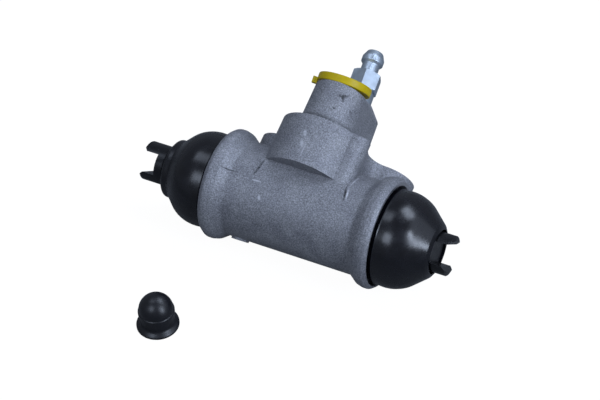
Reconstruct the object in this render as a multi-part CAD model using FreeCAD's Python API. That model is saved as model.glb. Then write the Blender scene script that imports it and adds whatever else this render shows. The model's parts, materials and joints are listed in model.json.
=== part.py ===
import FreeCAD, Part
import math
import os

# Wheel cylinder, sizes in millimetres.
# Everything is drawn with the bore along X and the mount face towards +Y.
# At the end the whole part is tipped about X until it lies on its two rims and its two lugs.

# Bore and barrel
BORE_R = 9.525
BODY_HALF = 25.8
BARREL_R = 13.7
RIM_R = 16.0
RIM_LAND = (2.3, 1.1)
RIM_SHOULDER = 3.8
RIM_SHOULDER_DROP = 0.4
RIM_ROOT = 6.4
RIM_END_DROP = 0.8
RIM_WALL = 1.9
MOUTH_DEPTH = 4.0
MOUTH_CHAMFER = 0.8
MOUTH_FLARE = (0.7, 0.4)

# The bore, and all that lies in it, is a little off the middle of the cast outside, along Y and Z
BORE_OFFSET = (-0.35, -0.12)

# Mount side: flat pad, round boss with its rib, and the two lugs with their tapped holes
FACE_Y = 20.1
PAD_X = (-12.2, 13.7)
PAD_NEAR = 13.6
PLATE_FAR = -15.5
RIB_X = 10.15
RIB_Z = 10.15
RIB_R = 3.6
BOSS_X = -0.9
BOSS_Z = 5.7
BOSS_R = 12.9
OVERHANG_Y = 5.6
LUG_MIDDLE_X = -0.45
LUG_SPACING = 32.2
LUG_R = 7.7
LUG_Z = -10.35
LUG_FOOT_Y = 2.0
LUG_BLEND_R = 5.0
TAPPED_R = 2.5
TAPPED_DEPTH = 11.0
RELIEF = 0.9
RELIEF_DEPTH = 0.4

# Fluid port
PORT_X = -1.75
PORT_Z = 5.7
PORT_BOSS_R = 7.85
PORT_TOP_Y = 33.8
PORT_TAP_R = 4.5
PORT_DEPTH = 10.0
PORT_PASSAGE_R = 1.5
SPOTFACE_R = 9.0

# Bleeder boss, bleed screw and its drilling
BLEED_X = -2.2
BLEED_Z = -8.5
BLEED_TILT = 4.0
BLEED_PIVOT_Y = 45.0
BLEED_BOSS_R = 7.7
BLEED_SHOULDER_Y = 34.3
BLEED_TOP_Y = 38.4
BLEED_TOP_R = 4.6
SCREW_HOLE_R = 4.0
SCREW_R = 3.95
SEAT_BOTTOM_Y = 23.9
SEAT_BOTTOM_R = 1.0
SEAT_GAP = 0.05
TIP_R = 3.0
HEX_FLATS = 8.0
HEX_Y = (42.7, 48.1)
HEX_TURN = 52.0
NIPPLE_NECK_R = 2.6
NIPPLE_HEAD_R = 3.3
NIPPLE_TOP_Y = 55.4
NIPPLE_BORE_R = 1.2
CROSS_BORE_R = 0.9

# Cast foot under the barrel
STUB_X = -15.45
STUB_R = 2.55
STUB_RISE = 0.5
STUB_ANGLE = 199.4

# Pistons; both pistons, the cups and the spring lie a little to the left of the middle
ASSEMBLY_LEFT = 2.5
PISTON_GAP = 0.05
PISTON_BACK = 13.0
PISTON_SKIRT_END = 24.0
STEM_R = 5.7
GROOVE = (37.6, 39.6)
GROOVE_R = 4.8
SLOT_BOTTOM = 42.6
TIP_END = 48.0
TIP_CHAMFER = (0.8, 2.0)
SLOT_WIDTH = 6.1
SLOT_LEAD = (1.7, 1.6)
PRONG_SIDE = (1.9, 4.4, 6.2)
SLOT_TURN_RIGHT = 25.0
SLOT_TURN_LEFT = 28.0

# Cups, expanders and the spring between them
CUP_GAP = 0.1
CUP_LIP = 7.5
CUP_FLOOR = 10.4
CUP_WALL = 1.9
EXPANDER_FACE = 5.0
EXPANDER_R = 7.0
EXPANDER_HUB_R = 4.6
EXPANDER_HUB_END = 2.6
SPRING_COIL_R = 5.9
WIRE_R = 0.6
SPRING_TURNS = 4
SPRING_STEPS = 12
WIRE_STEPS = 8

# Dust boots and the steel rings in their feet.
# A bulge or an inside is (distance from the rim face, drop below the mouth radius, rounding),
# a nose is (distance from the rim face, radius, rounding).
BOOT_FOOT_GAP = 0.1
BOOT_WALL = 1.3
BOOT_LIP_GAP = 0.3
BOOT_NOSE_GAP = 0.7
BOOT_NECK = 0.8
BOOT_RIDGE = (0.8, 0.25)
BOOT_RIGHT_BULGE = [(4.8, 0.2, 10.5), (9.0, 1.8, 9.5)]
BOOT_RIGHT_NOSE = [(14.2, 7.8, 1.0)]
BOOT_RIGHT_END = 14.9
BOOT_RIGHT_INSIDE = [(4.4, 1.6, 8.0), (8.1, 2.9, 3.5), (9.4, 4.1, 0.3)]
BOOT_LEFT_BULGE = [(5.6, 0.2, 10.5), (9.5, 1.65, 9.0)]
BOOT_LEFT_NOSE = [(13.6, 8.6, 0.5), (15.3, 8.5, 1.0)]
BOOT_LEFT_END = 16.6
BOOT_LEFT_INSIDE = [(4.9, 1.65, 8.0), (8.6, 2.7, 6.0), (12.6, 6.5, 0.5)]
RING_WALL = 0.8

# Plug in the fluid port; its head sits askew and touches the boss with its near edge
PLUG_R = 7.9
PLUG_THICK = 2.3
PLUG_TILT = 12.0
PLUG_ASIDE = -0.3
PLUG_HEAD_GAP = 0.05
PLUG_STEM_GAP = 0.2
PLUG_STEM = 7.0
PLUG_NUB = (1.2, 1.85, 1.8)
PLUG_NUB_LOW = -1.1
PLUG_NUB_TURN = 15.0

# Rubber cap of the bleed screw, standing beside the cylinder
CAP_PLACE = (-24.75, -42.78)
CAP_DOME_R = 4.86
CAP_DOME_Z = 6.07
CAP_BEAD_R = 5.1
CAP_BEAD_Z = (5.0, 5.9)
CAP_SKIRT_R = 4.8
CAP_FLANGE_R = 5.98
CAP_FLANGE_THICK = 0.7
CAP_FLANGE_BLEND = 1.1
CAP_BORE_R = 3.3
CAP_BORE_DEPTH = 8.2

V = FreeCAD.Vector
X_AXIS = V(1, 0, 0)
Y_AXIS = V(0, 1, 0)
Z_AXIS = V(0, 0, 1)


def rounded(corners):
    """Closed face in the XY plane through corners (x, y) or (x, y, radius of the rounding)."""
    edges = []
    points = [V(c[0], c[1], 0) for c in corners]
    radii = [c[2] if len(c) > 2 else 0.0 for c in corners]
    count = len(points)
    starts = []
    ends = []
    for i in range(count):
        here = points[i]
        back = (points[i - 1] - here).normalize()
        ahead = (points[(i + 1) % count] - here).normalize()
        if radii[i] == 0.0:
            starts.append(here)
            ends.append(here)
            continue
        half = back.getAngle(ahead) / 2
        reach = radii[i] / math.tan(half)
        middle = (back + ahead).normalize() * (radii[i] / math.sin(half) - radii[i])
        starts.append(here + back * reach)
        ends.append(here + ahead * reach)
        edges.append(Part.Arc(starts[i], here + middle, ends[i]).toShape())
    for i in range(count):
        begin = ends[i]
        finish = starts[(i + 1) % count]
        if begin.distanceToPoint(finish) > 1e-6:
            edges.append(Part.makeLine(begin, finish))
    return Part.Face(Part.Wire(Part.__sortEdges__(edges)))


def turned_on_bore(corners):
    """Solid of revolution about X; corners are (along, radius, rounding)."""
    return rounded(corners).revolve(V(0, 0, 0), X_AXIS, 360)


def turned_on_y(corners, x, z):
    """Solid of revolution about a line along Y; corners are (radius, height, rounding)."""
    solid = rounded(corners).revolve(V(0, 0, 0), Y_AXIS, 360)
    return solid.translated(V(x, 0, z))


def post(x, z, radius, low, high):
    """Round post along Y."""
    return Part.makeCylinder(radius, high - low, V(x, low, z), Y_AXIS)


def fused(first, *others):
    """One solid from several."""
    return first.fuse(list(others)).removeSplitter()


def mirrored(shape):
    """The same shape for the other end of the bore."""
    return shape.mirror(V(0, 0, 0), X_AXIS)


def barrel():
    """Turned outside of the barrel with a rim bead at each end."""
    half = [
        (BODY_HALF - RIM_ROOT, BARREL_R, 2.0),
        (BODY_HALF - RIM_SHOULDER, RIM_R - RIM_SHOULDER_DROP, 1.5),
        (BODY_HALF - RIM_LAND[0], RIM_R, 1.0),
        (BODY_HALF - RIM_LAND[1], RIM_R, 1.0),
        (BODY_HALF, RIM_R - RIM_END_DROP, 0.3),
    ]
    other = [(-x, r, rounding) for x, r, rounding in reversed(half)]
    return turned_on_bore(other + half + [(BODY_HALF, 0), (-BODY_HALF, 0)])


def pad():
    """Flat sharp-cornered pad on the barrel below the round boss."""
    size = PAD_X[1] - PAD_X[0]
    return Part.makeBox(size, OVERHANG_Y, PAD_NEAR, V(PAD_X[0], 0, 0))


def blend_centre(lug_x, side):
    """Centre of the hollow blend between the round boss and a lug."""
    boss = V(BOSS_X, BOSS_Z, 0)
    lug = V(lug_x, LUG_Z, 0)
    span = boss - lug
    length = span.Length
    to_lug = LUG_R + LUG_BLEND_R
    to_boss = BOSS_R + LUG_BLEND_R
    along = (to_lug ** 2 - to_boss ** 2 + length ** 2) / (2 * length)
    aside = math.sqrt(to_lug ** 2 - along ** 2)
    across = V(span.y, -span.x, 0) * side
    return lug + span * (along / length) + across * (aside / length)


def lug_outline(side):
    """Points of the pad outline on one side: boss tangent, blend middle, lug tangent, lug side, far end."""
    lug_x = LUG_MIDDLE_X + side * LUG_SPACING / 2
    lug = V(lug_x, LUG_Z, 0)
    boss = V(BOSS_X, BOSS_Z, 0)
    centre = blend_centre(lug_x, side)
    on_boss = boss + (centre - boss).normalize() * BOSS_R
    on_lug = lug + (centre - lug).normalize() * LUG_R
    inward = ((on_boss - centre) + (on_lug - centre)).normalize()
    inset = math.sqrt(LUG_R ** 2 - (PLATE_FAR - LUG_Z) ** 2)
    far_end = V(lug_x - side * inset, PLATE_FAR, 0)
    outside = lug + V(side * math.cos(math.radians(35)), -math.sin(math.radians(35)), 0) * LUG_R
    return [on_boss, centre + inward * LUG_BLEND_R, on_lug, outside, far_end]


def lug_plate():
    """Plate with both lugs, from the lug feet up to the mount face."""
    right = lug_outline(1)
    left = lug_outline(-1)
    right = [V(p.x, LUG_FOOT_Y, p.y) for p in right]
    left = [V(p.x, LUG_FOOT_Y, p.y) for p in left]
    edges = [
        Part.Arc(right[0], right[1], right[2]).toShape(),
        Part.Arc(right[2], right[3], right[4]).toShape(),
        Part.makeLine(right[4], left[4]),
        Part.Arc(left[4], left[3], left[2]).toShape(),
        Part.Arc(left[2], left[1], left[0]).toShape(),
        Part.makeLine(left[0], right[0]),
    ]
    return Part.Face(Part.Wire(edges)).extrude(V(0, FACE_Y - LUG_FOOT_Y, 0))


def bleed_axis_x(height):
    """Where the leaning axis of the bleed screw passes at a height."""
    return BLEED_X - (height - BLEED_PIVOT_Y) * math.tan(math.radians(BLEED_TILT))


def tangent_ring(height, wider=0.0):
    """Wire through the four tangent points of the port boss and the bleeder boss."""
    port = V(PORT_X, height, PORT_Z)
    bleed = V(bleed_axis_x(height), height, BLEED_Z)
    line = port - bleed
    lean_in = math.asin((BLEED_BOSS_R - PORT_BOSS_R) / line.Length)
    ahead = V(line.x, line.y, line.z).normalize()
    side = V(ahead.z, 0, -ahead.x)
    normals = [side * (sign * math.cos(lean_in)) + ahead * math.sin(lean_in) for sign in (1, -1)]
    ring = [
        port + normals[0] * (PORT_BOSS_R + wider),
        bleed + normals[0] * (BLEED_BOSS_R + wider),
        bleed + normals[1] * (BLEED_BOSS_R + wider),
        port + normals[1] * (PORT_BOSS_R + wider),
    ]
    return Part.makePolygon(ring + [ring[0]])


def between_bosses():
    """Flat-sided web between the port boss and the bleeder boss."""
    rings = [tangent_ring(FACE_Y - 1.0), tangent_ring(PORT_TOP_Y)]
    return Part.makeLoft(rings, True, True)


def face_relief():
    """Shallow recess of the mount face around both bosses, so that a plate clears the leaning one."""
    low = FACE_Y - RELIEF_DEPTH
    web = Part.Face(tangent_ring(low, RELIEF)).extrude(V(0, RELIEF_DEPTH, 0))
    port = post(PORT_X, PORT_Z, PORT_BOSS_R + RELIEF, low, FACE_Y)
    bleeder = post(bleed_axis_x(low), BLEED_Z, BLEED_BOSS_R + RELIEF, low, FACE_Y)
    return fused(web, port, bleeder)


def tilted(solid):
    """The solid leaned with the axis of the bleed screw."""
    solid.rotate(V(BLEED_X, BLEED_PIVOT_Y, BLEED_Z), Z_AXIS, BLEED_TILT)
    return solid


def bleeder_boss():
    """Post of the bleed screw with its coned top."""
    corners = [
        (0, LUG_FOOT_Y),
        (BLEED_BOSS_R, LUG_FOOT_Y),
        (BLEED_BOSS_R, BLEED_SHOULDER_Y),
        (BLEED_TOP_R, BLEED_TOP_Y),
        (0, BLEED_TOP_Y),
    ]
    return tilted(turned_on_y(corners, BLEED_X, BLEED_Z))


def stub():
    """Small cast foot under the left part of the barrel."""
    angle = math.radians(STUB_ANGLE)
    out = V(0, math.cos(angle), math.sin(angle))
    return Part.makeCylinder(STUB_R, BARREL_R + STUB_RISE, V(STUB_X, 0, 0), out)


def mouth_r():
    """Radius of the wide mouth at each end of the bore."""
    return RIM_R - RIM_WALL


def on_bore(shape):
    """The shape moved from the middle of the cast outside to the bore."""
    return shape.translated(V(0, BORE_OFFSET[0], BORE_OFFSET[1]))


def bore_cut():
    """Bore with a chamfer and a wide mouth for the boot foot at each end."""
    floor = BODY_HALF - MOUTH_DEPTH
    half = [
        (floor - MOUTH_CHAMFER * 2, BORE_R),
        (floor, BORE_R + MOUTH_CHAMFER),
        (floor, mouth_r()),
        (BODY_HALF - MOUTH_FLARE[0], mouth_r()),
        (BODY_HALF, mouth_r() + MOUTH_FLARE[1]),
        (BODY_HALF + 1, mouth_r() + MOUTH_FLARE[1]),
    ]
    other = [(-x, r) for x, r in reversed(half)]
    return on_bore(turned_on_bore(other + half + [(BODY_HALF + 1, 0), (-BODY_HALF - 1, 0)]))


def port_cut():
    """Tapped port with its coned seat and the passage to the bore."""
    floor = PORT_TOP_Y - PORT_DEPTH
    corners = [
        (0, 0),
        (PORT_PASSAGE_R, 0),
        (PORT_PASSAGE_R, floor + 1.2),
        (PORT_PASSAGE_R + 1.2, floor),
        (PORT_TAP_R, floor),
        (PORT_TAP_R, PORT_TOP_Y - 0.6),
        (PORT_TAP_R + 0.6, PORT_TOP_Y),
        (PORT_TAP_R + 0.6, PORT_TOP_Y + 1),
        (0, PORT_TOP_Y + 1),
    ]
    return turned_on_y(corners, PORT_X, PORT_Z)


def bleeder_cut():
    """Tapped hole of the bleed screw, its coned seat and the passage to the bore."""
    seat_top = SEAT_BOTTOM_Y + SCREW_HOLE_R - SEAT_BOTTOM_R
    corners = [
        (0, 0),
        (SEAT_BOTTOM_R, 0),
        (SEAT_BOTTOM_R, SEAT_BOTTOM_Y),
        (SCREW_HOLE_R, seat_top),
        (SCREW_HOLE_R, BLEED_TOP_Y - 0.3),
        (SCREW_HOLE_R + 0.3, BLEED_TOP_Y),
        (SCREW_HOLE_R + 0.3, BLEED_TOP_Y + 1),
        (0, BLEED_TOP_Y + 1),
    ]
    return tilted(turned_on_y(corners, BLEED_X, BLEED_Z))


def tapped_hole(side):
    """Blind tapped hole in a lug with its drill point."""
    low = FACE_Y - TAPPED_DEPTH
    corners = [
        (0, low - TAPPED_R * 0.6),
        (TAPPED_R, low),
        (TAPPED_R, FACE_Y + 1),
        (0, FACE_Y + 1),
    ]
    return turned_on_y(corners, LUG_MIDDLE_X + side * LUG_SPACING / 2, LUG_Z)


def housing():
    """Die-cast body."""
    base = fused(
        barrel(),
        pad(),
        lug_plate(),
        post(BOSS_X, BOSS_Z, BOSS_R, OVERHANG_Y, FACE_Y),
        post(RIB_X, RIB_Z, RIB_R, 0, FACE_Y),
        stub(),
    )
    body = fused(
        base.cut(face_relief()),
        post(PORT_X, PORT_Z, PORT_BOSS_R, FACE_Y - 1, PORT_TOP_Y),
        bleeder_boss(),
        between_bosses(),
    )
    spotface = post(PORT_X, PORT_Z, SPOTFACE_R, PORT_TOP_Y, BLEED_TOP_Y + 1)
    cuts = [spotface, bore_cut(), port_cut(), bleeder_cut(), tapped_hole(1), tapped_hole(-1)]
    return body.cut(cuts).removeSplitter()


def piston(slot_turn):
    """Piston: skirt in the bore, stem through the boot and a slotted tip."""
    radius = BORE_R - PISTON_GAP
    chamfer_x, chamfer_r = TIP_CHAMFER
    corners = [
        (PISTON_BACK, 0),
        (PISTON_BACK, radius - 0.4),
        (PISTON_BACK + 0.4, radius),
        (PISTON_SKIRT_END - 0.4, radius),
        (PISTON_SKIRT_END, radius - 0.4),
        (PISTON_SKIRT_END, STEM_R, 0.5),
        (GROOVE[0], STEM_R),
        (GROOVE[0], GROOVE_R),
        (GROOVE[1], GROOVE_R),
        (GROOVE[1], STEM_R),
        (TIP_END - chamfer_x, STEM_R, 0.3),
        (TIP_END, STEM_R - chamfer_r, 0.3),
        (TIP_END, 0),
    ]
    cuts = [slot_cut(), prong_side_cut(1), prong_side_cut(-1)]
    for cut in cuts:
        cut.rotate(V(0, 0, 0), X_AXIS, slot_turn)
    return turned_on_bore(corners).cut(cuts)


def slot_cut():
    """Slot for the shoe web, opened at its mouth by a slanted lead-in on both sides."""
    half = SLOT_WIDTH / 2
    lead_x, lead_y = SLOT_LEAD
    side = [(SLOT_BOTTOM, half), (TIP_END - lead_x, half), (TIP_END, half + lead_y), (TIP_END + 1, half + lead_y)]
    other = [(x, -y) for x, y in reversed(side)]
    face = rounded(side + other)
    return face.extrude(V(0, 0, 4 * STEM_R)).translated(V(0, 0, -2 * STEM_R))


def prong_side_cut(side):
    """Slanted corner at one side of both prongs."""
    depth, narrow, wide = PRONG_SIDE
    corners = [(TIP_END - depth, wide), (TIP_END, narrow), (TIP_END + 1, narrow), (TIP_END + 1, 2 * wide)]
    corners.append((TIP_END - depth, 2 * wide))
    points = [V(x, -2 * STEM_R, z * side) for x, z in corners]
    return Part.Face(Part.makePolygon(points + [points[0]])).extrude(V(0, 4 * STEM_R, 0))


def piston_cup():
    """Rubber cup, open towards the middle of the bore."""
    radius = BORE_R - CUP_GAP
    corners = [
        (PISTON_BACK, 0),
        (PISTON_BACK, radius - 0.5, 0.3),
        (CUP_FLOOR, radius - 0.3, 0.5),
        (CUP_LIP, radius),
        (CUP_LIP, radius - 0.7),
        (CUP_FLOOR, radius - CUP_WALL, 0.6),
        (CUP_FLOOR, 0),
    ]
    return turned_on_bore(corners)


def cup_expander():
    """Expander: a dished disc with a hub that holds the spring."""
    corners = [
        (EXPANDER_HUB_END, 0),
        (EXPANDER_HUB_END, EXPANDER_HUB_R, 0.5),
        (EXPANDER_FACE, EXPANDER_HUB_R),
        (EXPANDER_FACE, EXPANDER_R, 0.3),
        (CUP_FLOOR, EXPANDER_R - 0.6, 0.3),
        (CUP_FLOOR, 0),
    ]
    return turned_on_bore(corners)


def return_spring():
    """Spring between the two expanders: a tube along a helix, with a flat end at each side."""
    reach = EXPANDER_FACE - WIRE_R
    climb = reach / (math.pi * SPRING_TURNS)
    rows = []
    for step in range(SPRING_TURNS * SPRING_STEPS + 1):
        angle = 2 * math.pi * step / SPRING_STEPS
        out = V(0, math.cos(angle), math.sin(angle))
        ahead = V(climb, -SPRING_COIL_R * math.sin(angle), SPRING_COIL_R * math.cos(angle)).normalize()
        side = ahead.cross(out)
        middle = V(climb * angle - reach, 0, 0) + out * SPRING_COIL_R
        turns = [2 * math.pi * k / WIRE_STEPS for k in range(WIRE_STEPS)] + [0.0]
        rows.append([middle + (out * math.cos(a) + side * math.sin(a)) * WIRE_R for a in turns])
    surface = Part.BSplineSurface()
    surface.interpolate(rows)
    first, last = surface.bounds()[:2]
    ends = [Part.Face(Part.Wire(surface.uIso(u).toShape())) for u in (first, last)]
    shell = Part.makeShell([surface.toShape()] + ends)
    shell.sewShape()
    coil = Part.makeSolid(shell)
    if coil.Volume < 0:
        coil.reverse()
    return coil


def dust_boot(out, bulge, nose, end, inside):
    """Rubber boot: foot in the mouth, domed wall, nose with its lip in the groove of a piston moved out."""
    foot = -MOUTH_DEPTH + BOOT_FOOT_GAP
    foot_r = mouth_r() - BOOT_FOOT_GAP
    wall_r = foot_r - BOOT_WALL
    lip = [GROOVE[0] + out - BODY_HALF + BOOT_LIP_GAP, GROOVE[1] + out - BODY_HALF - BOOT_LIP_GAP]
    lip_r = GROOVE_R + BOOT_LIP_GAP
    nose_r = STEM_R + BOOT_NOSE_GAP
    neck_r = foot_r - BOOT_NECK
    ridge_x, ridge_high = BOOT_RIDGE
    corners = [(foot, foot_r), (-MOUTH_FLARE[0] - BOOT_NECK, foot_r, 0.2), (-MOUTH_FLARE[0], neck_r, 0.3)]
    corners += [(ridge_x - 0.2, foot_r - 0.45), (ridge_x, foot_r - 0.45 + ridge_high)]
    corners += [(ridge_x + 0.2, foot_r - 0.4)]
    corners += [(out_x, mouth_r() - drop, rounding) for out_x, drop, rounding in bulge]
    corners += nose
    corners += [(end, nose_r + 0.3), (end, nose_r), (lip[1], nose_r), (lip[1], lip_r), (lip[0], lip_r)]
    corners += [(lip[0], nose_r)]
    corners += [(out_x, mouth_r() - drop, rounding) for out_x, drop, rounding in reversed(inside)]
    corners += [(0, wall_r), (foot, wall_r)]
    return turned_on_bore([(BODY_HALF + c[0],) + tuple(c[1:]) for c in corners])


def boot_ring():
    """Steel ring that presses the boot foot into the mouth."""
    outer = mouth_r() - BOOT_FOOT_GAP - BOOT_WALL - 0.1
    low = BODY_HALF - MOUTH_DEPTH
    high = BODY_HALF - 0.6
    inner = outer - RING_WALL
    return turned_on_bore([(low, outer), (high, outer, 0.2), (high, inner, 0.2), (low, inner)])


def bleed_screw():
    """Bleed screw: coned tip, shank, hexagon and hose nipple, drilled from the top."""
    tip_low = SEAT_BOTTOM_Y + SEAT_GAP
    corners = [
        (0, tip_low),
        (SEAT_BOTTOM_R, tip_low),
        (TIP_R, tip_low + TIP_R - SEAT_BOTTOM_R),
        (TIP_R, tip_low + 4.2),
        (SCREW_R, tip_low + 4.2 + SCREW_R - TIP_R),
        (SCREW_R, HEX_Y[0] - 0.9),
        (SCREW_R - 0.5, HEX_Y[0] - 0.4),
        (SCREW_R - 0.5, HEX_Y[0] + 0.2),
        (NIPPLE_NECK_R, HEX_Y[0] + 0.2),
        (NIPPLE_NECK_R, HEX_Y[1] + 3.0, 0.4),
        (NIPPLE_HEAD_R, HEX_Y[1] + 3.8, 0.3),
        (NIPPLE_HEAD_R, NIPPLE_TOP_Y - 2.0, 0.3),
        (NIPPLE_HEAD_R - 0.9, NIPPLE_TOP_Y, 0.4),
        (0, NIPPLE_TOP_Y),
    ]
    stem = turned_on_y(corners, BLEED_X, BLEED_Z)
    cross_y = tip_low + 3.1
    drill = post(BLEED_X, BLEED_Z, NIPPLE_BORE_R, cross_y, NIPPLE_TOP_Y + 1)
    cross = Part.makeCylinder(CROSS_BORE_R, 4 * TIP_R, V(BLEED_X - 2 * TIP_R, cross_y, BLEED_Z), X_AXIS)
    return tilted(fused(stem, hexagon()).cut([drill, cross]))


def hexagon():
    """Hexagon of the bleed screw with its corners turned off at both ends."""
    corner_r = HEX_FLATS / math.sqrt(3)
    low, high = HEX_Y
    points = []
    for k in range(7):
        angle = math.radians(HEX_TURN + 30 + 60 * k)
        points.append(V(corner_r * math.cos(angle), low, corner_r * math.sin(angle)))
    prism = Part.Face(Part.makePolygon(points)).extrude(V(0, high - low, 0))
    prism = prism.translated(V(BLEED_X, 0, BLEED_Z))
    crown = turned_on_y(
        [
            (0, low),
            (corner_r - 0.5, low),
            (corner_r, low + 0.3),
            (corner_r, high - 0.3),
            (corner_r - 0.5, high),
            (0, high),
        ],
        BLEED_X,
        BLEED_Z,
    )
    return prism.common(crown)


def plug_head():
    """Flat head of the plug with the moulding nub on its rim, square on the origin and facing +Y."""
    corners = [
        (0, 0),
        (PLUG_R, 0, 0.3),
        (PLUG_R, PLUG_THICK, 0.35),
        (0, PLUG_THICK),
    ]
    out, tall, wide = PLUG_NUB
    nub = Part.makeBox(out + 0.3, tall, wide, V(-PLUG_R - out, PLUG_NUB_LOW, -wide / 2))
    nub.rotate(V(0, 0, 0), Y_AXIS, PLUG_NUB_TURN)
    return fused(turned_on_y(corners, 0, 0), nub)


def port_plug():
    """Plastic plug in the port: stem with the head askew on it."""
    stem_r = PORT_TAP_R - PLUG_STEM_GAP
    low = PORT_TOP_Y - PLUG_STEM
    rise = PORT_TOP_Y + PLUG_HEAD_GAP + PLUG_R * math.sin(math.radians(PLUG_TILT))
    high = rise + PLUG_THICK / 3
    corners = [
        (0, low),
        (stem_r - 0.4, low),
        (stem_r, low + 0.6),
        (stem_r, high),
        (0, high),
    ]
    head = plug_head()
    head.rotate(V(0, 0, 0), X_AXIS, PLUG_TILT)
    head.translate(V(PORT_X + PLUG_ASIDE, rise, PORT_Z))
    return fused(turned_on_y(corners, PORT_X, PORT_Z), head)


def bleed_screw_cap():
    """Hollow rubber cap with a bead below its dome, drawn upright on the floor."""
    dome = Part.makeSphere(CAP_DOME_R, V(0, 0, CAP_DOME_Z), Z_AXIS, 0, 90, 360)
    corners = [
        (0, 0),
        (CAP_FLANGE_R, 0, 0.2),
        (CAP_FLANGE_R, CAP_FLANGE_THICK, 0.25),
        (CAP_SKIRT_R, CAP_FLANGE_THICK + CAP_FLANGE_BLEND, 1.2),
        (CAP_SKIRT_R, CAP_BEAD_Z[0]),
        (CAP_BEAD_R, CAP_BEAD_Z[0], 0.1),
        (CAP_BEAD_R, CAP_BEAD_Z[1], 0.3),
        (CAP_DOME_R, CAP_DOME_Z),
        (0, CAP_DOME_Z),
    ]
    skirt = rounded(corners).revolve(V(0, 0, 0), Y_AXIS, 360)
    skirt.rotate(V(0, 0, 0), X_AXIS, 90)
    hollow = Part.makeCylinder(CAP_BORE_R, CAP_BORE_DEPTH)
    return fused(skirt, dome).cut(hollow)


def lean():
    """Angle in degrees at which the part lies on its rims and on the far edges of its lug feet."""
    far = LUG_R - LUG_Z
    return math.degrees(math.acos(RIM_R / math.hypot(far, LUG_FOOT_Y)) - math.atan2(LUG_FOOT_Y, far))


def laid_down(shape):
    """The shape tipped about the bore and lifted onto the floor."""
    shape = shape.copy()
    shape.rotate(V(0, 0, 0), X_AXIS, lean())
    shape.translate(V(0, 0, RIM_R))
    return shape


def build():
    """Every sub-part by name, in the frame that is handed on."""
    right = V(-ASSEMBLY_LEFT, 0, 0)
    left = V(ASSEMBLY_LEFT, 0, 0)
    nodes = {}
    nodes["piston_right"] = piston(SLOT_TURN_RIGHT).translated(right)
    nodes["piston_left"] = mirrored(piston(SLOT_TURN_LEFT).translated(left))
    for name, shape in (("piston_cup", piston_cup()), ("cup_expander", cup_expander())):
        nodes[name + "_right"] = shape.translated(right)
        nodes[name + "_left"] = mirrored(shape.translated(left))
    boot_right = (BOOT_RIGHT_BULGE, BOOT_RIGHT_NOSE, BOOT_RIGHT_END, BOOT_RIGHT_INSIDE)
    boot_left = (BOOT_LEFT_BULGE, BOOT_LEFT_NOSE, BOOT_LEFT_END, BOOT_LEFT_INSIDE)
    nodes["dust_boot_right"] = dust_boot(-ASSEMBLY_LEFT, *boot_right)
    nodes["dust_boot_left"] = mirrored(dust_boot(ASSEMBLY_LEFT, *boot_left))
    nodes["boot_ring_right"] = boot_ring()
    nodes["boot_ring_left"] = mirrored(boot_ring())
    nodes["return_spring"] = return_spring().translated(right)
    nodes = {name: on_bore(shape) for name, shape in nodes.items()}
    nodes["housing"] = housing()
    nodes["bleed_screw"] = bleed_screw()
    nodes["port_plug"] = port_plug()
    nodes = {name: laid_down(shape) for name, shape in nodes.items()}
    nodes["bleed_screw_cap"] = bleed_screw_cap().translated(V(CAP_PLACE[0], CAP_PLACE[1], 0))
    box = Part.makeCompound(list(nodes.values())).optimalBoundingBox(False, False)
    middle = V(-(box.XMin + box.XMax) / 2, -(box.YMin + box.YMax) / 2, 0)
    return {name: shape.translated(middle) for name, shape in nodes.items()}


os.makedirs("parts", exist_ok=True)
for name, shape in build().items():
    shape.exportStep("parts/" + name + ".step")
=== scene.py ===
"""Wheel cylinder: detailed pieces, finishes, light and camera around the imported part.

Meshes are in metres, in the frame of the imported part. Named sizes and places are in millimetres
where no other unit is given, and places are as drawn: the bore along X, the mount side towards
+Y. From there they are tipped and lifted the way the part lies on the floor.
"""

import json
import math

import bmesh
import bpy
from bpy.props import FloatProperty, FloatVectorProperty, PointerProperty
from bpy.types import Operator, Panel, PropertyGroup
from mathutils import Matrix, Vector


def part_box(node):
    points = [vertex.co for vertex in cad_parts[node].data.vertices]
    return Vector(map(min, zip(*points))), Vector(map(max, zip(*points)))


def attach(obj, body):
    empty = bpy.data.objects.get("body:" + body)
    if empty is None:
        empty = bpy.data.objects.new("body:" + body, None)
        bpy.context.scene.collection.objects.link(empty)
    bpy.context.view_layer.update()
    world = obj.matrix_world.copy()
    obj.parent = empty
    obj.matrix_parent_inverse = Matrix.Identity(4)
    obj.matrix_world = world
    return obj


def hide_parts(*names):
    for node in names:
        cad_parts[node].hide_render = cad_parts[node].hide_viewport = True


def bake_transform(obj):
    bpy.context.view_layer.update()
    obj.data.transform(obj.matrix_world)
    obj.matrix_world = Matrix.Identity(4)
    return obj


bl_info = {
    "name": "Wheel cylinder",
    "version": (1, 0, 0),
    "blender": (4, 5, 0),
    "location": "3D View > Sidebar > Wheel cylinder",
    "description": "Builds the looks of a drum brake wheel cylinder around its packed model",
    "category": "Add Mesh",
}

MM = 0.001
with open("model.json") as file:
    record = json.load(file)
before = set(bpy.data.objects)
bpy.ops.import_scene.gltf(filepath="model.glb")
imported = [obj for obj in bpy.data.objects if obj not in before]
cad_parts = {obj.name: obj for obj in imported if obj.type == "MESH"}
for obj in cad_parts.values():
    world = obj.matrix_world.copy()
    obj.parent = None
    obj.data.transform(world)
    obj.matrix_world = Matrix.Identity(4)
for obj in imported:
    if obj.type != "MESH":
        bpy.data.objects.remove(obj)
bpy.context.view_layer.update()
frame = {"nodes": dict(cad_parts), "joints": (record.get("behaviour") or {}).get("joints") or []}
joints = {joint["name"]: joint for joint in frame["joints"]}

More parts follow.
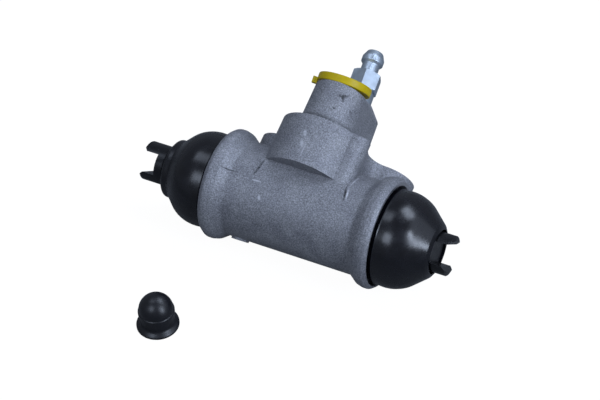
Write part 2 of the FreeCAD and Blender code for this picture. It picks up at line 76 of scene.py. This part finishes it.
# The mount side looks up by LEAN. The bore lies BORE_OFFSET off the middle of the cast outside,
# and the pistons with the spring lie ASSEMBLY_LEFT of the middle.
BORE_OFFSET = Vector((0, -0.35, -0.12))
ASSEMBLY_LEFT = 2.5
PLUG_AXIS = Vector(joints["port_plug_pull"]["axis"])
LEAN = math.atan2(PLUG_AXIS.z, PLUG_AXIS.y)
TIP = Matrix.Rotation(LEAN, 4, "X")
BORE_CENTRE = Vector((
    (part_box("housing")[0].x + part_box("housing")[1].x) / 2,
    joints["piston_left_turn"]["pos_m"][1],
    joints["piston_left_turn"]["pos_m"][2],
))
CAST_CENTRE = BORE_CENTRE - TIP @ BORE_OFFSET * MM
BORE_LAID = Matrix.Translation(BORE_CENTRE) @ TIP
LAID = Matrix.Translation(CAST_CENTRE) @ TIP

# Corners closer than MERGE, in metres, are one, and so are faces that meet under FLAT. An edge is
# rounded over ROUNDED, and shaded as an edge over CREASED. CRISP is for turned and milled pieces.
MERGE = 1e-7
FLAT = math.radians(0.5)
ROUNDED = math.radians(35)
CREASED = math.radians(38)
CAST_CREASED = math.radians(50)
CRISP = math.radians(24)

# Axes of the bosses and lugs as (x, z). The bleeder boss leans by its tilt about its pivot's height.
PORT = (-1.75, 5.7)
BLEEDER = (-2.2, -8.5)
BLEEDER_TILT = 4.0
BLEEDER_PIVOT = 45.0
LUGS = ((-16.55, -10.35), (15.65, -10.35))

# Surfaces that were cut after casting: how far each reaches from its own axis, and where it starts.
MOUNT_FACE = 20.1
BORE_REACH = 10.6
RECESS_REACH = 14.3
RECESS_START = 21.7
PORT_REACH = 5.2
PORT_START = 8.0
BOLT_REACH = 3.2
BOLT_START = 7.0
BLEEDER_REACH = 4.2
BLEEDER_START = 12.0

# Thread of the bolt holes, with its section as (along, out from the wall).
BOLT_R = 2.5
BOLT_THREAD_START = 9.8
BOLT_THREAD_PITCH = 0.8
BOLT_THREAD_TURNS = 12.0
BOLT_THREAD_STEPS = 24
BOLT_THREAD = ((-0.36, 0.05), (0.36, 0.05), (0.06, -0.3), (-0.06, -0.3))

# Return spring: two halves that meet in the middle.
WIRE_R = 0.6
COIL_R = 5.9
COIL_PITCH = 2.2
COIL_TURNS = 2.0
COIL_STEPS = 32

# Camera fitted to the photograph: its directions, its place seen from the casting's middle along
# the axes of the frame, and its shift.
CAMERA_RIGHT = Vector((0.8969, 0.44027, -0.04173))
CAMERA_DOWN = Vector((0.2841, -0.6458, -0.70867))
CAMERA_PLACE = Vector((187.60, -347.55, 394.78))
CAMERA_SHIFT = 0.8 / 600

# Lamps as (name, turn, rise, width, height, setting, share of its power), in degrees and metres.
LAMP_DISTANCE = 1.0
LAMPS = (
    ("right_lamp", -14, 29, 0.20, 0.58, "side", 1.0),
    ("far_right_lamp", 24, 38, 0.60, 0.60, "side", 0.18),
    ("top_lamp", 172, 67, 0.36, 0.36, "top", 1.0),
    ("front_lamp", -100, 43, 0.42, 0.36, "front", 1.0),
    ("back_lamp", 62, 58, 0.50, 0.36, "back", 1.0),
)

# Floor: half its width in metres, its shade to the lamps and to the camera, and its white glow.
FLOOR_HALF = 3.0
FLOOR_SHADE = (0.22, 0.22, 0.22)
FLOOR_SEEN_SHADE = (0.82, 0.82, 0.82)
FLOOR_GLOW = 1.07
FLOOR_GLOW_SHARE = 0.90


class CastingSettings(PropertyGroup):
    """Edges and finish of the die-cast body."""

    edge: FloatProperty(
        name="Edge rounding",
        description="Width of the rounding on the casting's edges",
        default=0.22 * MM,
        precision=5,
        unit="LENGTH",
    )
    colour: FloatVectorProperty(
        name="Cast colour",
        description="Blasted aluminium",
        default=(0.226, 0.230, 0.250),
        subtype="COLOR",
        min=0.0,
        max=1.0,
    )
    roughness: FloatProperty(
        name="Roughness",
        description="Roughness of the cast skin",
        default=0.58,
        min=0.0,
        max=1.0,
        subtype="FACTOR",
    )


class RubberSettings(PropertyGroup):
    """Finish of the boots and of the loose cap."""

    colour: FloatVectorProperty(
        name="Rubber colour",
        description="Black moulded rubber",
        default=(0.0016, 0.0018, 0.0036),
        subtype="COLOR",
        min=0.0,
        max=1.0,
    )
    roughness: FloatProperty(
        name="Roughness",
        description="Roughness of the moulded rubber",
        default=0.24,
        min=0.0,
        max=1.0,
        subtype="FACTOR",
    )


class FittingSettings(PropertyGroup):
    """Colours of the screw, the pistons and the plug."""

    zinc: FloatVectorProperty(
        name="Zinc",
        description="Bright zinc plating",
        default=(0.49, 0.56, 0.635),
        subtype="COLOR",
        min=0.0,
        max=1.0,
    )
    piston: FloatVectorProperty(
        name="Piston",
        description="Black anodised piston",
        default=(0.004, 0.0043, 0.006),
        subtype="COLOR",
        min=0.0,
        max=1.0,
    )
    plug: FloatVectorProperty(
        name="Plug",
        description="Yellow plastic of the port plug",
        default=(0.54, 0.40, 0.0015),
        subtype="COLOR",
        min=0.0,
        max=1.0,
    )
    edge: FloatProperty(
        name="Edge rounding",
        description="Width of the rounding on turned and milled edges",
        default=0.14 * MM,
        precision=5,
        unit="LENGTH",
    )


class StageSettings(PropertyGroup):
    """Camera and lamps."""

    focal_length: FloatProperty(
        name="Focal length",
        description="Focal length of the camera on a 36 mm wide sensor, in millimetres",
        default=120.0,
        min=10.0,
    )
    top: FloatProperty(
        name="Top light",
        description="Power of the lamp over the object",
        default=1.1,
        min=0.0,
        unit="POWER",
    )
    side: FloatProperty(
        name="Right light",
        description="Power of the tall lamp at the right; a weaker one stands beside it",
        default=6.0,
        min=0.0,
        unit="POWER",
    )
    front: FloatProperty(
        name="Front light",
        description="Power of the lamp in front",
        default=2.7,
        min=0.0,
        unit="POWER",
    )
    back: FloatProperty(
        name="Back light",
        description="Power of the lamp behind the object",
        default=4.0,
        min=0.0,
        unit="POWER",
    )
    surround: FloatProperty(
        name="Surround",
        description="Brightness of the room around the object",
        default=0.16,
        min=0.0,
    )
    mirrored: FloatProperty(
        name="Mirrored",
        description="Share of the white room that metal and gloss reflect",
        default=0.15,
        min=0.0,
        max=1.0,
        subtype="FACTOR",
    )
    tint: FloatVectorProperty(
        name="Tint",
        description="Colour of the cool studio light",
        default=(0.71, 0.81, 1.0),
        subtype="COLOR",
        min=0.0,
        max=1.0,
    )


# Mesh helpers


def helix(profile, turn_radius, pitch, turns, steps_per_turn):
    """Closed helical bmesh about X from x = 0; the profile is (along, out) from the turn radius."""
    bm = bmesh.new()
    verts = [bm.verts.new((along * MM, 0, (turn_radius + out) * MM)) for along, out in profile]
    face = bm.faces.new(verts)
    steps = round(turns * steps_per_turn)
    bmesh.ops.spin(
        bm,
        geom=[face],
        axis=(1, 0, 0),
        dvec=(pitch * MM / steps_per_turn, 0, 0),
        angle=math.tau * turns,
        steps=steps,
    )
    bmesh.ops.remove_doubles(bm, verts=bm.verts, dist=MERGE)
    bmesh.ops.recalc_face_normals(bm, faces=bm.faces)
    return bm


def circle_profile(radius, count=10):
    """Points of a wire's section."""
    return [
        (radius * math.cos(math.tau * k / count), radius * math.sin(math.tau * k / count))
        for k in range(count)
    ]


def round_edges(bm, width, angle, segments=2):
    """Rounds every edge that is sharper than the angle."""
    sharp = [e for e in bm.edges if len(e.link_faces) == 2 and e.calc_face_angle() > angle]
    bmesh.ops.bevel(
        bm,
        geom=sharp,
        offset=width,
        offset_type="OFFSET",
        affect="EDGES",
        segments=segments,
        profile=0.5,
        material=-1,
        clamp_overlap=True,
    )


def refined(name, width, angle=ROUNDED):
    """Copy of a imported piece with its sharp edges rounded."""
    bm = bmesh.new()
    bm.from_mesh(frame["nodes"][name].data)
    bmesh.ops.remove_doubles(bm, verts=bm.verts, dist=MERGE)
    bmesh.ops.dissolve_limit(bm, angle_limit=FLAT, verts=bm.verts, edges=bm.edges)
    round_edges(bm, width, angle)
    return bm


def piece(name, bm, materials, sharp=CREASED):
    """Object from a bmesh, smooth except over sharp edges."""
    for face in bm.faces:
        face.smooth = True
    for edge in bm.edges:
        edge.smooth = not (len(edge.link_faces) == 2 and edge.calc_face_angle() > sharp)
    mesh = bpy.data.meshes.new(name)
    bm.to_mesh(mesh)
    bm.free()
    obj = bpy.data.objects.new(name, mesh)
    bpy.context.scene.collection.objects.link(obj)
    for material in materials:
        mesh.materials.append(material)
    return obj


def applied(obj):
    """Makes what the object's modifiers give its mesh."""
    graph = bpy.context.evaluated_depsgraph_get()
    graph.update()
    mesh = bpy.data.meshes.new_from_object(obj.evaluated_get(graph))
    old = obj.data
    obj.modifiers.clear()
    obj.data = mesh
    mesh.name = obj.name
    bpy.data.meshes.remove(old)
    return obj


def weighted(obj):
    """Turns the shading towards the large faces, so that flats stay flat beside rounded edges."""
    step = obj.modifiers.new("Weighted", "WEIGHTED_NORMAL")
    step.keep_sharp = True
    return applied(obj)


def move(bm, matrix):
    """Moves the whole bmesh."""
    bmesh.ops.transform(bm, matrix=matrix, verts=bm.verts)


def upright(x, z):
    """Stands a piece that is drawn along X upright towards the mount side, at x and z."""
    place = Matrix.Translation((x * MM, 0, z * MM))
    return LAID @ place @ Matrix.Rotation(math.radians(90), 4, "Z")


# Finishes


def new_finish(name):
    """Material with its node tree, shader and object coordinates."""
    material = bpy.data.materials.new(name)
    material.use_nodes = True
    tree = material.node_tree
    shader = tree.nodes["Principled BSDF"]
    coordinates = tree.nodes.new("ShaderNodeTexCoord").outputs["Object"]
    return material, tree, shader, coordinates


def noise(tree, coordinates, scale, detail, roughness=0.55):
    """Noise factor on the piece's own coordinates."""
    node = tree.nodes.new("ShaderNodeTexNoise")
    node.inputs["Scale"].default_value = scale
    node.inputs["Detail"].default_value = detail
    node.inputs["Roughness"].default_value = roughness
    tree.links.new(coordinates, node.inputs["Vector"])
    return node.outputs["Fac"]


def ramp(tree, factor, stops):
    """Colour ramp; stops are (position, colour)."""
    node = tree.nodes.new("ShaderNodeValToRGB")
    elements = node.color_ramp.elements
    while len(elements) < len(stops):
        elements.new(0.5)
    for element, (position, colour) in zip(elements, stops):
        element.position = position
        element.color = (*colour, 1.0)
    tree.links.new(factor, node.inputs["Fac"])
    return node.outputs["Color"]


def mapped(tree, factor, low, high, to_low, to_high):
    """Factor stretched from one range to another."""
    node = tree.nodes.new("ShaderNodeMapRange")
    for name, value in (
        ("From Min", low),
        ("From Max", high),
        ("To Min", to_low),
        ("To Max", to_high),
    ):
        node.inputs[name].default_value = value
    tree.links.new(factor, node.inputs["Value"])
    return node.outputs["Result"]


def between(tree, factor, low, high):
    """Level that goes from low to high as a noise goes through its usual range."""
    return mapped(tree, factor, 0.3, 0.7, low, high)


def mixed(tree, factor, first, second, blend="MIX"):
    """Colour between two, each a colour or a socket."""
    node = tree.nodes.new("ShaderNodeMix")
    node.data_type = "RGBA"
    node.blend_type = blend
    sockets = [s for s in node.inputs if s.enabled]
    for socket, value in zip(sockets, (factor, first, second)):
        if isinstance(value, bpy.types.NodeSocket):
            tree.links.new(value, socket)
        elif hasattr(value, "__len__"):
            socket.default_value = (*value[:3], 1.0)
        else:
            socket.default_value = value
    return node.outputs["Result"]


def calculated(tree, operation, first, second):
    """Result of a sum on two factors."""
    node = tree.nodes.new("ShaderNodeMath")
    node.operation = operation
    tree.links.new(first, node.inputs[0])
    tree.links.new(second, node.inputs[1])
    return node.outputs["Value"]


def mark(tree, coordinates, place, along, size):
    """Factor that is 1 inside a stretched spot and falls to 0 at its rim."""
    node = tree.nodes.new("ShaderNodeMapping")
    node.vector_type = "TEXTURE"
    node.inputs["Location"].default_value = LAID @ (Vector(place) * MM)
    turn = TIP.to_quaternion() @ Vector(along).to_track_quat("X", "Z")
    node.inputs["Rotation"].default_value = turn.to_euler()
    node.inputs["Scale"].default_value = Vector(size) * MM / 2
    tree.links.new(coordinates, node.inputs["Vector"])
    length = tree.nodes.new("ShaderNodeVectorMath")
    length.operation = "LENGTH"
    tree.links.new(node.outputs["Vector"], length.inputs[0])
    return mapped(tree, length.outputs["Value"], 0.5, 1.0, 1.0, 0.0)


def bump(tree, shader, height, strength, distance):
    """Bump from a height; called again, it lies on the bump before."""
    node = tree.nodes.new("ShaderNodeBump")
    node.inputs["Strength"].default_value = strength
    node.inputs["Distance"].default_value = distance
    tree.links.new(height, node.inputs["Height"])
    before = shader.inputs["Normal"].links
    if before:
        tree.links.new(before[0].from_socket, node.inputs["Normal"])
    tree.links.new(node.outputs["Normal"], shader.inputs["Normal"])


# Marks, painted shade and painted highlights on the casting as (place, direction, (length, width,
# depth), tone against the cast colour).
MARKS_AND_PAINTED_SHADE = (
    # Dark smudge and small pits on the port boss
    ((1.5, 30.4, 12.8), (0.84, 0.4, -0.37), (4.2, 1.1, 3.0), 0.12),
    ((1.7, 29.8, 12.7), (0.4, -0.9, -0.18), (3.0, 1.0, 3.0), 0.2),
    ((0.7, 26.1, 13.1), (0.84, 0.4, -0.37), (1.1, 0.9, 3.0), 0.2),
    ((4.5, 27.4, 10.4), (0.4, -0.9, -0.18), (1.3, 0.7, 3.0), 0.4),
    # Bright scrapes on the round boss and on the barrel
    ((-1.9, 14.2, 18.5), (0.4, -0.9, -0.18), (2.2, 1.3, 3.0), 2.1),
    ((-1.5, 11.1, 18.6), (0.4, -0.9, -0.18), (3.0, 1.4, 3.0), 1.9),
    ((-8.6, -5.6, 12.5), (0.4, -0.9, -0.18), (1.9, 1.0, 3.0), 2.2),
    # Flash line over the left rim and a bright stroke beside it
    ((-19.5, -0.9, 14.7), (0.94, 0.11, -0.32), (6.6, 0.6, 3.0), 0.15),
    ((-11.0, -1.4, 13.8), (0.99, 0.05, -0.13), (3.4, 0.6, 3.0), 2.3),
    # Painted shade along the two corners of the pad, with a painted highlight on the right one's edge
    ((-12.0, 2.6, 13.8), (-0.21, -0.98, -0.06), (6.5, 0.85, 3.0), 0.1),
    ((14.1, 2.6, 13.7), (0.19, -0.98, 0.03), (5.4, 0.75, 3.0), 0.12),
    ((14.7, 3.0, 13.5), (0.18, -0.98, 0.1), (5.0, 0.6, 3.0), 2.4),
    # Parting lines beside the pad and down the round boss
    ((14.4, 7.7, 10.9), (0.07, 0.81, -0.59), (6.7, 0.5, 3.0), 2.0),
    ((-0.4, 9.4, 18.4), (-0.02, -1.0, 0.0), (5.2, 0.45, 3.0), 1.7),
    # Painted shade in the crease around the port boss, just over the mount face
    ((-1.75, 22.0, 5.7), (1.0, 0.0, 0.0), (31.4, 3.4, 31.4), 0.35),
)


def cast_finish():
    """Blasted die-cast aluminium: fine grain, clouds, a few marks, and painted shade and painted
    highlights.
    """
    wanted = bpy.context.scene.wheel_casting
    material, tree, shader, at = new_finish("cast_aluminium")
    colour = Vector(wanted.colour)
    grain = noise(tree, at, scale=2900.0, detail=3.0, roughness=0.6)
    cloud = noise(tree, at, scale=230.0, detail=5.0, roughness=0.65)
    grained = ramp(tree, grain, [(0.30, colour * 0.50), (0.50, colour), (0.70, colour * 1.65)])
    clouded = ramp(tree, cloud, [(0.32, (0.84, 0.84, 0.86)), (0.68, (1.16, 1.16, 1.14))])
    skin = mixed(tree, 1.0, grained, clouded, "MULTIPLY")
    patchy = mapped(tree, noise(tree, at, scale=1500.0, detail=3.0), 0.35, 0.55, 0.35, 1.0)
    # Each spot pulls the cast colour towards its tone; some spots are painted shade and painted
    # highlights rather than marks.
    for place, along, size, tone in MARKS_AND_PAINTED_SHADE:
        inside = mark(tree, at, place, along, size)
        skin = mixed(tree, calculated(tree, "MULTIPLY", inside, patchy), skin, colour * tone)
    tree.links.new(skin, shader.inputs["Base Color"])
    rough = between(tree, cloud, wanted.roughness - 0.06, wanted.roughness + 0.06)
    tree.links.new(rough, shader.inputs["Roughness"])
    shader.inputs["Metallic"].default_value = 0.4
    bump(tree, shader, grain, strength=0.35, distance=0.12 * MM)
    bump(tree, shader, noise(tree, at, scale=600.0, detail=3.0), strength=0.10, distance=0.3 * MM)
    return material


def machined_finish():
    """Milled, turned and tapped faces of the casting."""
    material, tree, shader, at = new_finish("machined_aluminium")
    fine = noise(tree, at, scale=1500.0, detail=3.0)
    tone = ramp(tree, fine, [(0.3, (0.40, 0.41, 0.43)), (0.7, (0.56, 0.57, 0.60))])
    tree.links.new(tone, shader.inputs["Base Color"])
    tree.links.new(between(tree, fine, 0.30, 0.40), shader.inputs["Roughness"])
    shader.inputs["Metallic"].default_value = 0.9
    bump(tree, shader, fine, strength=0.15, distance=0.05 * MM)
    return material


def rubber_finish(duller=0.0):
    """Glossy black moulded rubber with a little dust."""
    wanted = bpy.context.scene.wheel_rubber
    material, tree, shader, at = new_finish("moulded_rubber")
    dust = noise(tree, at, scale=260.0, detail=5.0, roughness=0.65)
    colour = Vector(wanted.colour)
    tone = ramp(tree, dust, [(0.35, colour), (0.75, colour * 1.9)])
    tree.links.new(tone, shader.inputs["Base Color"])
    level = wanted.roughness + duller
    rough = mapped(tree, dust, 0.3, 0.8, level - 0.04, level + 0.12)
    tree.links.new(rough, shader.inputs["Roughness"])
    shader.inputs["Specular IOR Level"].default_value = 0.5
    bump(tree, shader, noise(tree, at, scale=420.0, detail=2.0), strength=0.06, distance=0.2 * MM)
    return material


def piston_finish():
    """Black anodised aluminium, worn to metal in small places."""
    wanted = bpy.context.scene.wheel_fittings
    material, tree, shader, at = new_finish("black_anodised")
    wear = noise(tree, at, scale=900.0, detail=5.0, roughness=0.7)
    colour = Vector(wanted.piston)
    stops = [(0.30, colour * 0.8), (0.62, colour * 1.3), (0.80, (0.20, 0.20, 0.22))]
    tree.links.new(ramp(tree, wear, stops), shader.inputs["Base Color"])
    tree.links.new(between(tree, wear, 0.26, 0.40), shader.inputs["Roughness"])
    shader.inputs["Metallic"].default_value = 0.2
    shader.inputs["Specular IOR Level"].default_value = 0.4
    return material


def zinc_finish():
    """Bright zinc plating with a light blue passivation."""
    wanted = bpy.context.scene.wheel_fittings
    material, tree, shader, at = new_finish("bright_zinc")
    cloud = noise(tree, at, scale=500.0, detail=4.0)
    colour = Vector(wanted.zinc)
    tone = ramp(tree, cloud, [(0.3, colour * 0.86), (0.7, colour * 1.08)])
    tree.links.new(tone, shader.inputs["Base Color"])
    tree.links.new(between(tree, cloud, 0.36, 0.46), shader.inputs["Roughness"])
    shader.inputs["Metallic"].default_value = 0.95
    return material


def plug_finish():
    """Moulded yellow polyethylene."""
    wanted = bpy.context.scene.wheel_fittings
    material, tree, shader, at = new_finish("yellow_polyethylene")
    cloud = noise(tree, at, scale=350.0, detail=4.0)
    colour = Vector(wanted.plug)
    tone = ramp(tree, cloud, [(0.3, colour * 0.92), (0.7, colour * 1.06)])
    tree.links.new(tone, shader.inputs["Base Color"])
    tree.links.new(between(tree, cloud, 0.38, 0.48), shader.inputs["Roughness"])
    shader.inputs["Specular IOR Level"].default_value = 0.3
    shader.inputs["Subsurface Weight"].default_value = 0.12
    shader.inputs["Subsurface Radius"].default_value = (2.0 * MM, 1.4 * MM, 0.4 * MM)
    bump(tree, shader, noise(tree, at, scale=900.0, detail=3.0), strength=0.12, distance=0.1 * MM)
    return material


def steel_finish():
    """Plain steel of the hidden spring, rings and expanders."""
    material, tree, shader, at = new_finish("plain_steel")
    cloud = noise(tree, at, scale=700.0, detail=4.0)
    tone = ramp(tree, cloud, [(0.3, (0.40, 0.40, 0.41)), (0.7, (0.56, 0.56, 0.57))])
    tree.links.new(tone, shader.inputs["Base Color"])
    tree.links.new(between(tree, cloud, 0.28, 0.42), shader.inputs["Roughness"])
    shader.inputs["Metallic"].default_value = 1.0
    return material


# Pieces


class WHEEL_OT_casting(Operator):
    """Builds the casting with rounded edges and machined faces, and the threads of its bolt holes"""

    bl_idname = "wheel_cylinder.casting"
    bl_label = "Casting"

    def execute(self, context):
        cast, machined = cast_finish(), machined_finish()
        bm = refined("housing", context.scene.wheel_casting.edge)
        back = LAID.inverted()
        for face in bm.faces:
            if self.is_machined(back @ face.calc_center_median() / MM, face.normal):
                face.material_index = 1
        casting = weighted(piece("casting", bm, [cast, machined], CAST_CREASED))
        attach(casting, "cylinder")
        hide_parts("housing")
        for side, (x, z) in zip(("left", "right"), LUGS):
            bm = helix(BOLT_THREAD, BOLT_R, BOLT_THREAD_PITCH, BOLT_THREAD_TURNS, BOLT_THREAD_STEPS)
            move(bm, upright(x, z) @ Matrix.Translation((BOLT_THREAD_START * MM, 0, 0)))
            thread = piece("thread_" + side, bm, [machined])
            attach(thread, "cylinder")
        return {"FINISHED"}

    def is_machined(self, at, normal):
        """Whether the face with its middle at this place was cut after casting."""
        on_mount_face = abs(at.y - MOUNT_FACE) < 0.1 and normal.dot(PLUG_AXIS) > 0.98
        from_bore = math.hypot(at.y - BORE_OFFSET.y, at.z - BORE_OFFSET.z)
        in_recess = from_bore < RECESS_REACH and abs(at.x) > RECESS_START
        if on_mount_face or from_bore < BORE_REACH or in_recess:
            return True
        if math.hypot(at.x - PORT[0], at.z - PORT[1]) < PORT_REACH and at.y > PORT_START:
            return True
        for x, z in LUGS:
            if math.hypot(at.x - x, at.z - z) < BOLT_REACH and at.y > BOLT_START:
                return True
        leaned = math.tan(math.radians(BLEEDER_TILT)) * (at.y - BLEEDER_PIVOT)
        from_bleeder = math.hypot(at.x - BLEEDER[0] + leaned, at.z - BLEEDER[1])
        return from_bleeder < BLEEDER_REACH and at.y > BLEEDER_START


class WHEEL_OT_boots(Operator):
    """Builds the two dust boots"""

    bl_idname = "wheel_cylinder.boots"
    bl_label = "Dust boots"

    def execute(self, context):
        rubber = rubber_finish()
        for side in ("right", "left"):
            node = frame["nodes"]["dust_boot_" + side]
            bm = bmesh.new()
            bm.from_mesh(node.data)
            bmesh.ops.remove_doubles(bm, verts=bm.verts, dist=MERGE)
            boot = piece("boot_" + side, bm, [rubber])
            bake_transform(boot)
            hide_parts("dust_boot_" + side)
        return {"FINISHED"}


class WHEEL_OT_spring(Operator):
    """Builds the return spring as two halves that meet in the middle"""

    bl_idname = "wheel_cylinder.spring"
    bl_label = "Return spring"

    def execute(self, context):
        steel = steel_finish()
        middle = Vector((-ASSEMBLY_LEFT * MM, 0, 0))
        for side, sign in (("right", 1), ("left", -1)):
            bm = helix(circle_profile(WIRE_R), COIL_R, COIL_PITCH, COIL_TURNS, COIL_STEPS)
            move(bm, Matrix.Rotation(0 if sign > 0 else math.pi, 4, "Z"))
            move(bm, BORE_LAID @ Matrix.Translation(middle))
            half = piece("spring_half_" + side, bm, [steel])
            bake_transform(half)
            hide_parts("return_spring")
        return {"FINISHED"}


class WHEEL_OT_fittings(Operator):
    """Builds the pistons, the bleed screw, its cap and the plug with rounded edges"""

    bl_idname = "wheel_cylinder.fittings"
    bl_label = "Pistons, screw, cap and plug"

    def execute(self, context):
        width = context.scene.wheel_fittings.edge
        black = piston_finish()
        for name, finish, slot in (
            ("piston_right", black, "dark_piston"),
            ("piston_left", black, "dark_piston"),
            ("bleed_screw", zinc_finish(), "zinc_plate"),
            ("port_plug", plug_finish(), "yellow_plastic"),
        ):
            bm = refined(name, width, CRISP)
            fitting = weighted(piece(name + "_rounded", bm, [finish], CRISP))
            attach(fitting, name)
            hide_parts(name)
        dusty_rubber = rubber_finish(duller=0.12)
        cap = weighted(piece("cap_rounded", refined("bleed_screw_cap", width), [dusty_rubber]))
        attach(cap, "cylinder")
        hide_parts("bleed_screw_cap")
        return {"FINISHED"}


class WHEEL_OT_finishes(Operator):
    """Gives the hidden pieces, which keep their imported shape, their finishes"""

    bl_idname = "wheel_cylinder.finishes"
    bl_label = "Finishes of the hidden pieces"

    def execute(self, context):
        rubber = rubber_finish()
        steel = steel_finish()
        for part, finish in (("piston_cup_", rubber), ("cup_expander_", steel), ("boot_ring_", steel)):
            for side in ("left", "right"):
                materials = frame["nodes"][part + side].data.materials
                materials.clear()
                materials.append(finish)
        return {"FINISHED"}


class WHEEL_OT_stage(Operator):
    """Sets up the floor, the room, the lamps and the camera"""

    bl_idname = "wheel_cylinder.stage"
    bl_label = "Stage"

    def execute(self, context):
        scene = context.scene
        scene.view_settings.view_transform = "Standard"
        self.build_floor()
        self.build_room(scene)
        for lamp in LAMPS:
            self.add_lamp(scene, *lamp)
        self.add_camera(scene)
        return {"FINISHED"}

    def build_floor(self):
        """Wide pale floor that shows white to the camera and keeps the shadow."""
        bm = bmesh.new()
        bmesh.ops.create_grid(bm, x_segments=1, y_segments=1, size=FLOOR_HALF)
        material = bpy.data.materials.new("floor")
        material.use_nodes = True
        tree = material.node_tree
        tree.nodes.clear()
        diffuse = tree.nodes.new("ShaderNodeBsdfDiffuse")
        white = tree.nodes.new("ShaderNodeEmission")
        white.inputs["Color"].default_value = (1, 1, 1, 1)
        white.inputs["Strength"].default_value = FLOOR_GLOW
        seen = tree.nodes.new("ShaderNodeLightPath").outputs["Is Camera Ray"]
        shade = mixed(tree, seen, FLOOR_SHADE, FLOOR_SEEN_SHADE)
        tree.links.new(shade, diffuse.inputs["Color"])
        mix = tree.nodes.new("ShaderNodeMixShader")
        output = tree.nodes.new("ShaderNodeOutputMaterial")
        tree.links.new(mapped(tree, seen, 0.0, 1.0, 0.0, FLOOR_GLOW_SHARE), mix.inputs["Fac"])
        tree.links.new(diffuse.outputs[0], mix.inputs[1])
        tree.links.new(white.outputs[0], mix.inputs[2])
        tree.links.new(mix.outputs[0], output.inputs["Surface"])
        piece("floor", bm, [material])

    def build_room(self, scene):
        """White room: plain white to the camera, part of that in reflections, dimmer as light."""
        wanted = scene.wheel_stage
        world = bpy.data.worlds.new("room")
        world.use_nodes = True
        tree = world.node_tree
        background = tree.nodes["Background"]
        rays = tree.nodes.new("ShaderNodeLightPath").outputs
        shown = calculated(tree, "MAXIMUM", rays["Is Glossy Ray"], rays["Is Transmission Ray"])
        mirrored = mapped(tree, shown, 0.0, 1.0, 0.0, wanted.mirrored)
        seen = calculated(tree, "MAXIMUM", rays["Is Camera Ray"], mirrored)
        level = mapped(tree, seen, 0.0, 1.0, wanted.surround, 1.0)
        tree.links.new(level, background.inputs["Strength"])
        shade = mixed(tree, seen, wanted.tint, (1.0, 1.0, 1.0))
        tree.links.new(shade, background.inputs["Color"])
        scene.world = world

    def add_lamp(self, scene, name, turn, rise, width, height, setting, share):
        """Soft rectangular lamp that looks at the object, placed by two angles."""
        lamp = bpy.data.lights.new(name, "AREA")
        lamp.shape = "RECTANGLE"
        lamp.size = width
        lamp.size_y = height
        lamp.energy = getattr(scene.wheel_stage, setting) * share
        lamp.color = scene.wheel_stage.tint
        holder = bpy.data.objects.new(name, lamp)
        scene.collection.objects.link(holder)
        out = Matrix.Rotation(math.radians(turn), 3, "Z") @ Matrix.Rotation(math.radians(-rise), 3, "Y")
        aim = out @ Vector((1, 0, 0))
        holder.location = CAST_CENTRE + aim * LAMP_DISTANCE
        holder.rotation_euler = (-aim).to_track_quat("-Z", "Y").to_euler()

    def add_camera(self, scene):
        """Camera at the photograph's viewing angle."""
        camera = bpy.data.cameras.new("camera")
        camera.lens = scene.wheel_stage.focal_length
        camera.sensor_width = 36.0
        camera.clip_start = 0.01
        camera.shift_y = CAMERA_SHIFT
        holder = bpy.data.objects.new("camera", camera)
        scene.collection.objects.link(holder)
        forward = CAMERA_RIGHT.cross(CAMERA_DOWN)
        turn = Matrix((CAMERA_RIGHT, -CAMERA_DOWN, -forward)).transposed().to_4x4()
        holder.matrix_world = Matrix.Translation(CAST_CENTRE + CAMERA_PLACE * MM) @ turn
        scene.camera = holder


PIECES = (
    WHEEL_OT_casting,
    WHEEL_OT_boots,
    WHEEL_OT_spring,
    WHEEL_OT_fittings,
    WHEEL_OT_finishes,
    WHEEL_OT_stage,
)


class WHEEL_PT_panel(Panel):
    """Lists the wheel cylinder's settings and pieces"""

    bl_idname = "WHEEL_PT_panel"
    bl_label = "Wheel cylinder"
    bl_space_type = "VIEW_3D"
    bl_region_type = "UI"
    bl_category = "Wheel cylinder"

    def draw(self, context):
        for settings in (
            context.scene.wheel_casting,
            context.scene.wheel_rubber,
            context.scene.wheel_fittings,
            context.scene.wheel_stage,
        ):
            box = self.layout.box()
            for name in settings.bl_rna.properties.keys():
                if name not in ("rna_type", "name"):
                    box.prop(settings, name)
        for operator in PIECES:
            self.layout.operator(operator.bl_idname)


SETTINGS = {
    "wheel_casting": CastingSettings,
    "wheel_rubber": RubberSettings,
    "wheel_fittings": FittingSettings,
    "wheel_stage": StageSettings,
}


def register():
    for name, group in SETTINGS.items():
        bpy.utils.register_class(group)
        setattr(bpy.types.Scene, name, PointerProperty(type=group))
    for cls in PIECES + (WHEEL_PT_panel,):
        bpy.utils.register_class(cls)


def unregister():
    for cls in reversed(PIECES + (WHEEL_PT_panel,)):
        bpy.utils.unregister_class(cls)
    for name, group in reversed(SETTINGS.items()):
        delattr(bpy.types.Scene, name)
        bpy.utils.unregister_class(group)


def main():
    register()
    for operator in PIECES:
        group, name = operator.bl_idname.split(".")
        getattr(getattr(bpy.ops, group), name)()


if __name__ == "__main__":
    main()
